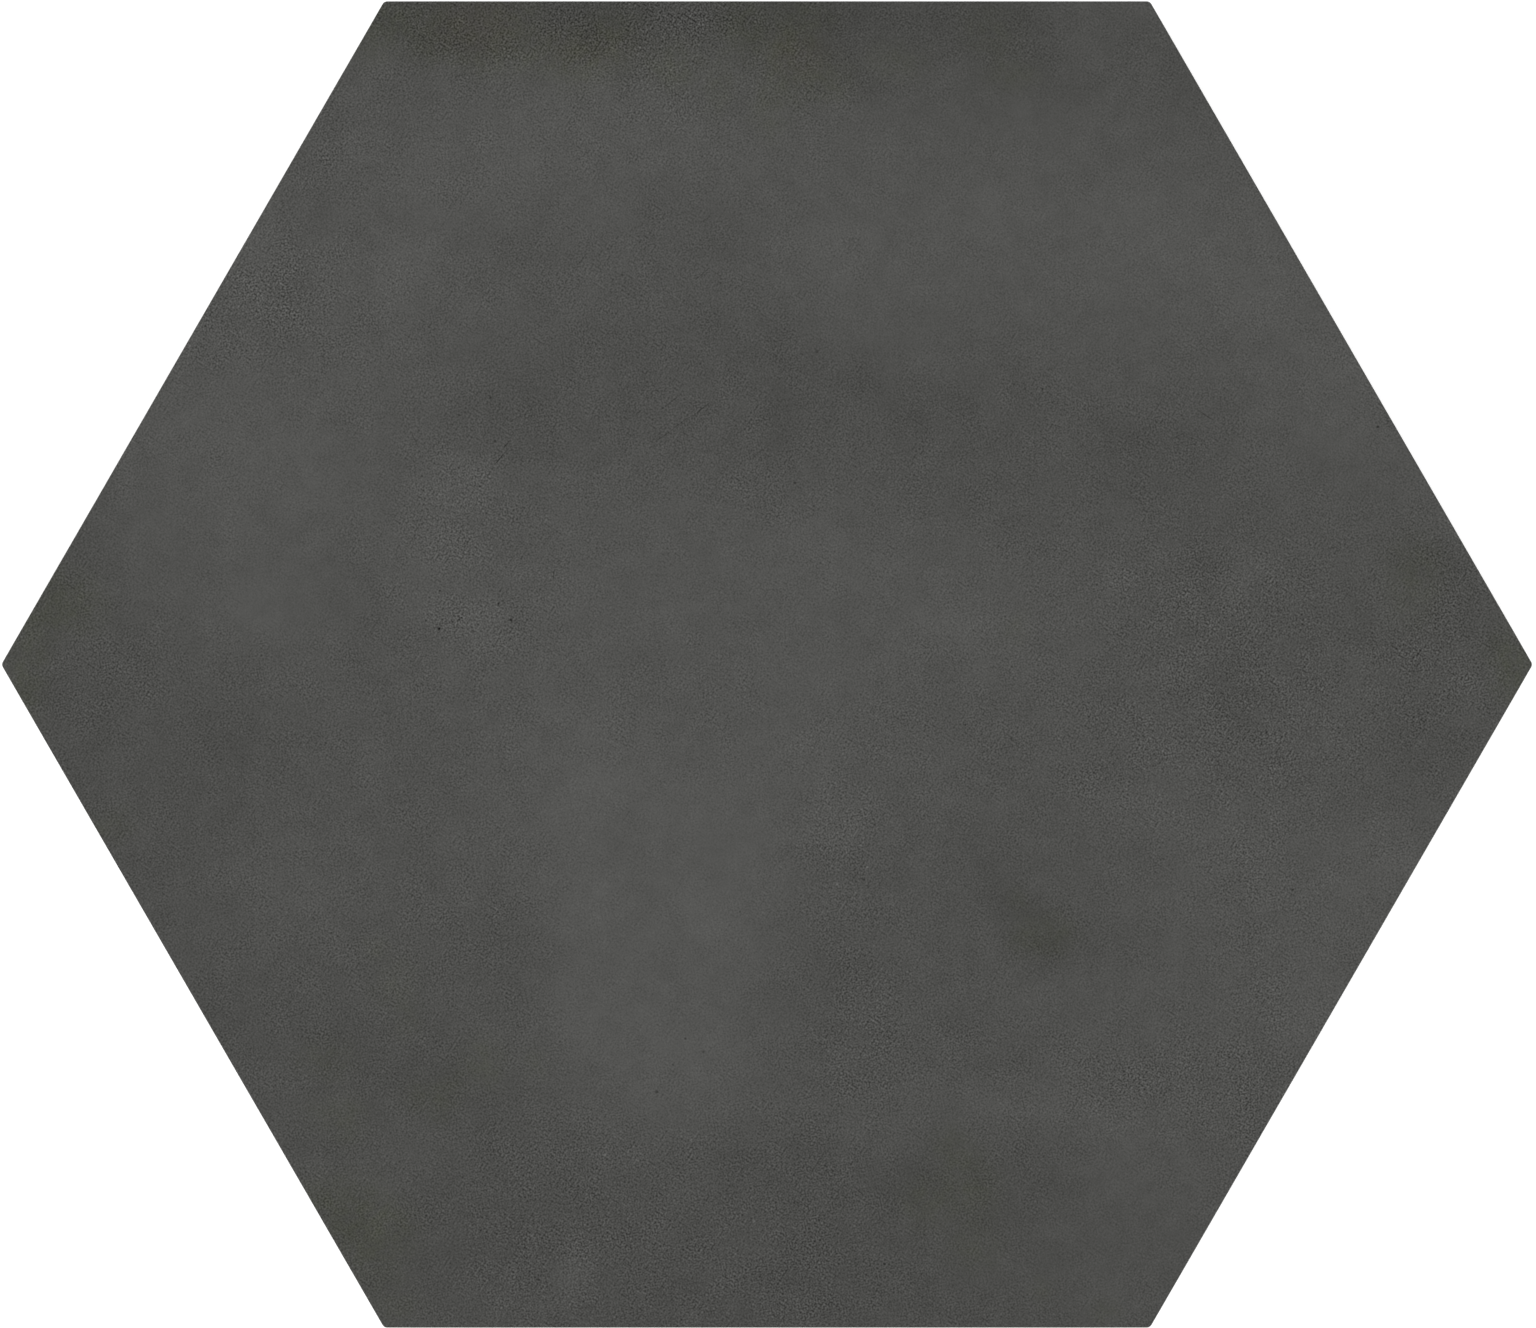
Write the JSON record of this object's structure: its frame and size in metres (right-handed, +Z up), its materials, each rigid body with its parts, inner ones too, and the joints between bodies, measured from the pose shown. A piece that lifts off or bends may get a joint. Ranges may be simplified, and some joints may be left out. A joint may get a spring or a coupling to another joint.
{
  "type": "hexagon floor tile",
  "caption": "Flat hexagonal floor tile in matt dark grey porcelain with a clouded, fine-grained face, eased edges and a honeycomb keyed back.",
  "frame": {"origin": "middle of the back, on the plane of the raised ribs that the tile lies on", "axes": "+Z up through the face; +X towards a corner; +Y towards the middle of a flat side"},
  "size_m": [0.21, 0.182, 0.009],
  "materials": {
    "porcelain": "matte"
  },
  "bodies": {
    "root": {"hexagon_tile": "porcelain"}
  },
  "joints": []
}
